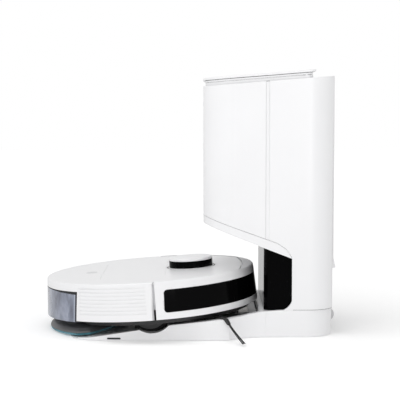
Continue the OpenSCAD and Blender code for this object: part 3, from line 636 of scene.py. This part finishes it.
def window_band(name, angles, node, mat):
    """One glossy pane of the window, along some angles, with softened edges."""
    bm = bmesh.new()

    def section(a):
        dip = window_dip(R_MID * math.cos(a) - WIN_START - WIN_FIT)
        low, high = WIN_LOW + WIN_FIT + dip, WIN_HIGH - WIN_FIT - dip
        rim = 0.3
        points = [(wall(low) - WIN_THICK + 0.05, low), (wall(low) - rim, low),
                  (wall(low + rim), low + rim)]
        for k in range(1, 6):
            z = low + rim + (high - low - 2 * rim) * k / 6
            points.append((wall(z), z))
        points += [(wall(high - rim), high - rim), (wall(high) - rim, high),
                   (wall(high) - WIN_THICK + 0.05, high)]
        return points

    swept(bm, section, angles, lean=WIN_LEAN)
    piece_from(bm, name, "bumper", "black_gloss", [node], mat)


def make_windows():
    """The two side panes and the front pane, with a fine seam between them."""
    reach = math.acos((WIN_START + WIN_FIT) / R_MID)
    ends = [reach - t for t in (0.0008, *WIN_END_STEPS)]
    seam = 0.0022
    right = spread_angles(SENSOR_HALF + seam, reach - 0.04) + ends[::-1]
    window_band("bumper_window_right", right, "bumper_window", "window_gloss")
    window_band("bumper_window_left", [-a for a in right[::-1]], "bumper_window", "window_gloss")
    window_band("front_sensor_window_fine", spread_angles(-SENSOR_HALF, SENSOR_HALF),
                "front_sensor_window", "black_gloss")


def make_turret():
    """Cap, dark window and foot of the lidar turret, and a dark ring round it, painted shade in its groove."""
    bm = bmesh.new()
    turned(bm, [(33.4, 90.8), (36.1, 90.8), (36.4, 91.1)] + corner(33.9, 92.9, 2.5, 7)
           + [(20, 95.5), (0, 95.6), (0, 93.4), (33.4, 93.4)], TURRET)
    piece_from(bm, "turret_cap_fine", "robot", "white_plastic", ["turret_cap"])
    bm = bmesh.new()
    turned(bm, [(34.4, 79.35), (36.5, 79.35), (36.5, 90.7), (34.4, 90.7)], TURRET)
    piece_from(bm, "turret_window_fine", "robot", "black_gloss", ["turret_window"])
    bm = bmesh.new()
    turned(bm, [(4.05, 58), (32.6, 58), (32.8, 58.2), (32.8, 78.95), (37.9, 78.95), (38.1, 79.1),
                (37.9, 79.3), (30.7, 79.3), (30.5, 79.1), (30.5, 61), (4.05, 61)], TURRET)
    piece_from(bm, "turret_base_fine", "robot", "white_plastic", ["turret_base"])
    # dark ring at the bottom of the groove round the turret: painted shade
    bm = bmesh.new()
    turned(bm, [(38.75, 78.2), (40.45, 78.2), (40.45, 78.5), (40.1, 78.75), (39.1, 78.75),
                (38.75, 78.5)], TURRET)
    piece_from(bm, "turret_groove_shade_ring", "robot", "rubber_dark")


def make_tank_shade_strip():
    """Dark strip over the tank, painted shade of the joint: it fills the wedge above the tank, which slides out
    level.
    """
    end = math.asin(TANK_HALF / 175.2)
    deep, sunk, above = 2.4, 0.1, 0.35

    def section(a):
        ahead_of_back = 176 + wall(62) * math.cos(a)
        low = min(TANK_TOP - ahead_of_back * DROP + above, TANK_TOP - sunk)
        high = TANK_TOP + above
        return [(wall(low) - deep, low), (wall(low) - sunk, low), (wall(high) - sunk, high),
                (wall(high) - deep, high)]

    # dark strip along the tank's top: painted shade of the joint
    for side in (-1, 1):
        bm = bmesh.new()
        swept(bm, section, [math.pi + side * a for a in spread_angles(math.radians(11), end)])
        piece_from(bm, "tank_joint_shade_strip_" + ("left" if side > 0 else "right"), "robot", "rubber_dark")


def soften_split_edges():
    """Rounds the upright outer edges where the body's side panels end at the bumper."""
    radius = 3.2
    bm = bmesh.new()
    for side in (-1, 1):
        rings = []
        for z in (Z_LOW - 1, DECK - 2.2):
            x = math.sqrt(wall(z) ** 2 - SPLIT ** 2)
            arc = [(x - radius + px, SPLIT - radius + py)
                   for px, py in corner(0, 0, radius, 6)]
            outline = arc + [(x - radius, SPLIT + 1), (x + 2, SPLIT + 1), (x + 2, SPLIT - radius)]
            rings.append([(side * px, py, z) for px, py in outline])
        loft(bm, rings)
    carve(bpy.data.objects["body_shell_fine"],
          piece_from(bm, "split_edge_cutter", "robot", "white_plastic"))


def make_base_seam():
    """Grey strip in the joint between base and tower, painted shadow of the seam, round the back from panel to
    panel.
    """
    foot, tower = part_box("tower_rear_shell")
    half, back, seat = tower[0] / MM, tower[1] / MM, foot[2] / MM
    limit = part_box("station_base")[1][1] / MM
    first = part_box("front_panel")[1][1] / MM + 1
    turn = TOWER_CORNER
    outline = ((0.9, seat - 0.3), (-0.15, seat - 0.3), (-0.15, seat + 0.2), (0.9, seat + 0.2))
    path = [(half, first, 0.0), (half, back - turn, 0.0)]
    for k in range(1, 16):
        a = k * math.pi / 32
        path.append((half - turn + turn * math.cos(a), back - turn + turn * math.sin(a), a))
    path.append((half - turn, back, math.pi / 2))
    path += [(-x, y, math.pi - a) for x, y, a in path[::-1]]
    # grey strip standing in the seam: painted shadow
    bm = bmesh.new()
    loft(bm, [[(x - d * math.cos(a), min(y - d * math.sin(a), limit - d), z) for d, z in outline]
              for x, y, a in path])
    piece_from(bm, "base_seam_shadow_strip", "station", "grey_plastic", robot=False)


def make_lid_lines():
    """Dark strip under the lid's plate, painted shadow of its edge, and a pale lip that closes the joint below its
    neck.
    """
    # the lid's own axes start 211.2 mm ahead of the tower's back, a little below the collar
    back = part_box("tower_rear_shell")[1][1] / MM
    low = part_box("lid_collar")[0][2] / MM
    slope = Matrix.Rotation(math.radians(TOP_SLOPE), 4, "X")
    place = Matrix.Translation((0, back - 211.2, low - 0.33)) @ slope
    half, front, end, turn, back_turn = 115.0, 4.3, 174.5, TOWER_CORNER, 8.0
    around = [(half - turn + turn * math.sin(a), front + turn - turn * math.cos(a), a)
              for a in [math.pi / 2 * k / 16 for k in range(17)]]
    corner_end = [(half - back_turn + back_turn * math.cos(a),
                   end - back_turn + back_turn * math.sin(a), math.pi / 2 + a)
                  for a in [math.pi / 2 * k / 6 for k in range(7)]]

    def strip(name, body, slot, tail, outline):
        right = around + tail
        path = [(-x, y, -a) for x, y, a in right[:0:-1]] + right
        bm = bmesh.new()
        loft(bm, [[place @ Vector((x - d * math.sin(a), y + d * math.cos(a), z))
                   for d, z in outline] for x, y, a in path])
        piece_from(bm, name, body, slot, robot=False)

    # dark strip under the lid's plate: painted shadow
    strip("lid_rim_shadow_strip", "tower_lid", "rubber_dark", corner_end,
          [(0.8, 8.2), (-0.25, 8.2), (-0.25, 9.1), (0.8, 9.1)])
    strip("lid_joint_lip", "station", "white_plastic", [(half, 158.0, math.pi / 2)],
          [(1.6, 4.66), (0.3, 4.66), (0.3, 5.1), (1.6, 5.1)])


def make_split_liner():
    """Pale liner behind each gap between the body and the bumper's ends."""
    section = [(wall(z) - d, z) for z, d in
               ((41, 5.3), (41, 4.3), (58, 4.3), (74.5, 4.3), (74.5, 5.3), (58, 5.3))]
    for side in (-1, 1):
        bm = bmesh.new()
        angles = [side * math.acos(y / 172.0) for y in (17, 14, 11, 8, 5)]
        swept(bm, lambda a: section, angles)
        piece_from(bm, "split_liner_" + ("right" if side > 0 else "left"), "robot",
                   "light_plastic")


# ---------- brushes ----------

BRUSH_HUB, BRUSH_TURN = (108.0, 97.0), 28.0
BRISTLES_IN_TUFT, BRISTLE_STEPS = 30, 12
COLLAR_STEPS, COLLAR_SIDES = 6, 16
# each tuft: degrees from the first, (reach, height) points along it, and how far it fans out
TUFTS = (
    (0, [(44, 10.85), (49, 10.0), (54, 6.4), (60, 1.6), (72, -6.0), (88, -15.0), (103, -22.6)], 2.5),
    (120, [(44, 10.85), (52, 10.6), (60, 9.4), (69.6, 7.7)], 2.6),
    (240, [(44, 10.85), (50, 10.6), (57.6, 10.0)], 2.2),
)


def along(points, share):
    """A point part of the way along a line of (reach, height) points."""
    lengths = [math.dist(p, q) for p, q in zip(points, points[1:])]
    left = share * sum(lengths)
    for (p, q), length in zip(zip(points, points[1:]), lengths):
        if left <= length:
            t = left / length
            return p[0] + (q[0] - p[0]) * t, p[1] + (q[1] - p[1]) * t
        left -= length
    return points[-1]


def strand(bm, points, radii):
    """A thin tube through points, tapering."""
    sides = 4
    rings = []
    for k, p in enumerate(points):
        p = Vector(p)
        ahead = Vector(points[min(k + 1, len(points) - 1)]) - Vector(points[max(k - 1, 0)])
        across = ahead.cross(Vector((0, 0, 1))).normalized()
        up = across.cross(ahead).normalized()
        rings.append([p + (across * math.cos(2 * math.pi * i / sides)
                           + up * math.sin(2 * math.pi * i / sides)) * radii[k]
                      for i in range(sides)])
    loft(bm, rings)


def make_tuft(bm, rng, out, across, path, fan):
    """Separate bristles that leave an arm's end together and fan out along a path."""
    hub = Vector((*BRUSH_HUB, 0))
    gathered = 1.3
    for _ in range(BRISTLES_IN_TUFT):
        side_way, lift = rng.uniform(-1, 1), rng.uniform(-0.5, 0.5)
        wave, cut = rng.uniform(-0.5, 0.5), rng.uniform(0.965, 1.0)
        points, radii = [], []
        for k in range(BRISTLE_STEPS + 1):
            t = cut * k / BRISTLE_STEPS
            reach, height = along(path, t)
            gather = gathered + (fan - gathered) * t ** 1.6 + 0.2 * math.sin(4 * t + 3 * wave)
            points.append(hub + out * reach + across * (side_way * gather + wave * t)
                          + Vector((0, 0, height + lift * (0.9 + 0.5 * t))))
            radii.append(0.42 - 0.14 * t)
        strand(bm, points, radii)


def make_collar(bm, out, across, path, share):
    """A flat oval sleeve that narrows along the first part of a tuft."""
    hub = Vector((*BRUSH_HUB, 0))
    rings = []
    for k in range(COLLAR_STEPS + 1):
        t = share * k / COLLAR_STEPS
        reach, height = along(path, t)
        ahead = (Vector(along(path, t + 0.02))
                 - Vector(along(path, max(t - 0.02, 0)))).normalized()
        half, thick = 4.3 - 0.8 * k / COLLAR_STEPS, 1.9 - 0.3 * k / COLLAR_STEPS
        if k in (0, COLLAR_STEPS):
            half, thick = half - 0.5, thick - 0.3
        ring = []
        for i in range(COLLAR_SIDES):
            b = 2 * math.pi * i / COLLAR_SIDES
            off = math.sin(b) * thick
            ring.append(hub + out * (reach - off * ahead.y) + across * (math.cos(b) * half)
                        + Vector((0, 0, height + off * ahead.x)))
        rings.append(ring)
    loft(bm, rings)


def make_side_bristles(side):
    """Three tufts of bristles, each gathered in a soft collar at its arm's end."""
    rng = random.Random(11)
    bm = bmesh.new()
    for turn, path, fan in TUFTS:
        a = math.radians(BRUSH_TURN + turn)
        out = Vector((math.cos(a), math.sin(a), 0))
        across = Vector((-math.sin(a), math.cos(a), 0))
        make_tuft(bm, rng, out, across, path, fan)
        make_collar(bm, out, across, path, 0.25 if turn == 0 else 0.3)
    if side == "left":
        bmesh.ops.scale(bm, vec=(-1, 1, 1), verts=bm.verts)
    node = "bristles_" + side
    piece_from(bm, node + "_fine", body_of[node], "bristle", [node])


# ---------- soft goods ----------

PAD_CENTRE, PAD_RAYS = (0.0, -118.0), 300
PAD_MIDDLE, PAD_HALF = -2.5, 1.95  # the pad's middle height, and how far its faces may be from it
SWELL_FRAMES = 20


def mop_inside(x, y, inset):
    """How far inside the mop's outline a point lies, in millimetres."""
    return min(173 - inset - math.hypot(x, y), 191 - inset - math.hypot(x, y + 240),
               127 - inset - math.hypot(x, y + 112))


def mop_outline(inset):
    """The mop's outline as (angle, reach) rays from the middle of the pad."""
    edge = []
    for k in range(PAD_RAYS):
        a = math.tau * k / PAD_RAYS
        lo, hi = 0.0, 200.0
        for _ in range(40):
            mid = (lo + hi) / 2
            x, y = PAD_CENTRE[0] + mid * math.cos(a), PAD_CENTRE[1] + mid * math.sin(a)
            if mop_inside(x, y, inset) > 0:
                lo = mid
            else:
                hi = mid
        edge.append((a, lo))
    return edge


def make_mop_pad():
    """Washable pad: rounded hem, stitched edge seam and a softly quilted pile."""
    edge = mop_outline(0.4)
    rng = random.Random(5)
    ripple = [(rng.uniform(5, 21), rng.uniform(0, 6.28), rng.uniform(0.05, 0.14)) for _ in range(6)]
    hem, thick, seam_in, seam_deep = 2.0, 1.9, 5.0, 0.75
    rings_top, rings_low = [], []
    # millimetres in from the edge
    for s in (0, 0.35, 0.9, 1.8, 3.0, 4.2, 5.0, 5.8, 7.5, 10, 14, 19, 25, 32, 40):
        # crown of the hem, then the sewn groove, then the quilted field
        round_off = math.sqrt(max(0.0, 1 - max(0.0, 1 - s / hem) ** 2))
        seam = math.exp(-((s - seam_in) / 0.8) ** 2)
        top, low = [], []
        for a, reach in edge:
            r = max(reach - s * (reach / 90.0 if s > 8 else 1.0), 4)
            x, y = PAD_CENTRE[0] + r * math.cos(a), PAD_CENTRE[1] + r * math.sin(a)
            wave = sum(h * math.sin(f * a + p) for f, p, h in ripple)
            quilt = 0.28 * math.sin(x / 4.2) * math.sin(y / 4.2) if s > 6 else 0
            t = thick * round_off - seam_deep * seam + quilt * round_off + 0.3 * wave * round_off
            top.append((x, y, PAD_MIDDLE + min(t, PAD_HALF)))
            low.append((x, y, PAD_MIDDLE - min(t, PAD_HALF)))
        rings_top.append(top)
        rings_low.append(low)
    bm = bmesh.new()
    loft(bm, rings_top[::-1] + rings_low[1:])
    pad = piece_from(bm, "mop_pad_fine", "mop", "teal_cloth", ["mop_pad"])


def swell(soft, pressure, cap):
    """Blows a mesh up with cloth pressure, and limits how far its points move."""
    start = [v.co.copy() for v in soft.data.vertices]
    cloth_mod = soft.modifiers.new("swell", "CLOTH")
    settings = cloth_mod.settings
    settings.quality = 5
    settings.mass = 0.2
    settings.tension_stiffness = 12
    settings.compression_stiffness = 12
    settings.bending_stiffness = 0.6
    settings.use_pressure = True
    settings.uniform_pressure_force = pressure
    settings.effector_weights.gravity = 0
    cloth_mod.collision_settings.use_collision = False
    scene = bpy.context.scene
    for f in range(1, SWELL_FRAMES + 1):
        scene.frame_set(f)
    graph = bpy.context.evaluated_depsgraph_get()
    moved = [v.co.copy() for v in soft.evaluated_get(graph).data.vertices]
    soft.modifiers.clear()
    scene.frame_set(1)
    for v, before, after in zip(soft.data.vertices, start, moved):
        step = after - before
        if step.length > cap:
            step *= cap / step.length
        v.co = before + step


def simulated_cushion(source, name):
    voxel, pressure, cap, shrink = 6 * MM, 3.0, 7 * MM, 0.945
    mesh = source.data.copy()
    soft = bpy.data.objects.new(name, mesh)
    bpy.context.scene.collection.objects.link(soft)
    lo = Vector([min(v.co[i] for v in mesh.vertices) for i in range(3)])
    hi = Vector([max(v.co[i] for v in mesh.vertices) for i in range(3)])
    middle = (lo + hi) / 2
    mesh.transform(Matrix.Translation(middle) @ Matrix.Scale(shrink, 4)
                   @ Matrix.Translation(-middle))
    remesh = soft.modifiers.new("remesh", "REMESH")
    remesh.mode, remesh.voxel_size = "VOXEL", voxel
    apply_modifiers(soft)
    swell(soft, pressure, cap)
    return soft


def crease(bag):
    """Presses random folds into a bag's wall, and keeps it inside its CAD box."""
    rng = random.Random(3)
    folds = [(rng.uniform(40, 110), rng.uniform(-1, 1), rng.uniform(0, 6.28),
              rng.uniform(0.3, 0.8)) for _ in range(9)]
    lo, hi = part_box("dust_bag")
    margin = 0.2 * MM
    for v in bag.data.vertices:
        fold = 0.0
        for freq, lean, phase, depth in folds:
            s = math.sin(freq * (v.co.x * lean + v.co.y * (1 - abs(lean)) + 0.6 * v.co.z)
                         + phase)
            fold -= depth * MM * max(0.0, s) ** 6
        v.co += v.normal * fold
        for i in range(3):
            v.co[i] = min(max(v.co[i], lo[i] + margin), hi[i] - margin)


def make_dust_bag():
    """Paper-cloth bag: swollen by simulation, then creased and made finer."""
    bag = simulated_cushion(nodes["dust_bag"], "dust_bag_fine")
    crease(bag)
    finer = bag.modifiers.new("finer", "SUBSURF")
    finer.levels = finer.render_levels = 1
    apply_modifiers(bag)
    for f in bag.data.polygons:
        f.use_smooth = True
    bag.data.materials.clear()
    bag.data.materials.append(MATERIALS["bag_cloth"])
    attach(bag, body_of["dust_bag"])
    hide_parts("dust_bag")


# ---------- everything is made ----------

# nodes with a piece of their own
OWN = {"bumper_shell", "bumper_window", "front_sensor_window", "turret_cap", "bristles_left",
       "bristles_right", "mop_pad", "dust_bag", "turret_window", "turret_base"}
# width of the rounded edges in millimetres
BEVEL = {"deck_lid": 0.15, "overhang_trim": 0.3, "ramp_treads": 0.2, "tyre_left": 0.4,
         "tyre_right": 0.4, "tower_lid": 0.9, "mop_plate": 1.0, "station_base": 1.0,
         "body_shell": 0.12, "tower_front_shell": 0.2, "tower_rear_shell": 0.2}
USUAL_BEVEL = 0.5
for name in nodes:
    if name not in OWN:
        finished(name, BEVEL.get(name, USUAL_BEVEL) * MM)
soften_split_edges()
make_bumper()
make_windows()
make_turret()
make_tank_shade_strip()
make_split_liner()
make_base_seam()
make_lid_lines()
make_side_bristles("left")
make_side_bristles("right")
make_mop_pad()
make_dust_bag()

make_camera()
make_world()
bpy.context.scene.view_settings.view_transform = "Standard"
make_floor(floor_material())
for lamp in LAMPS:
    area_light(*lamp)
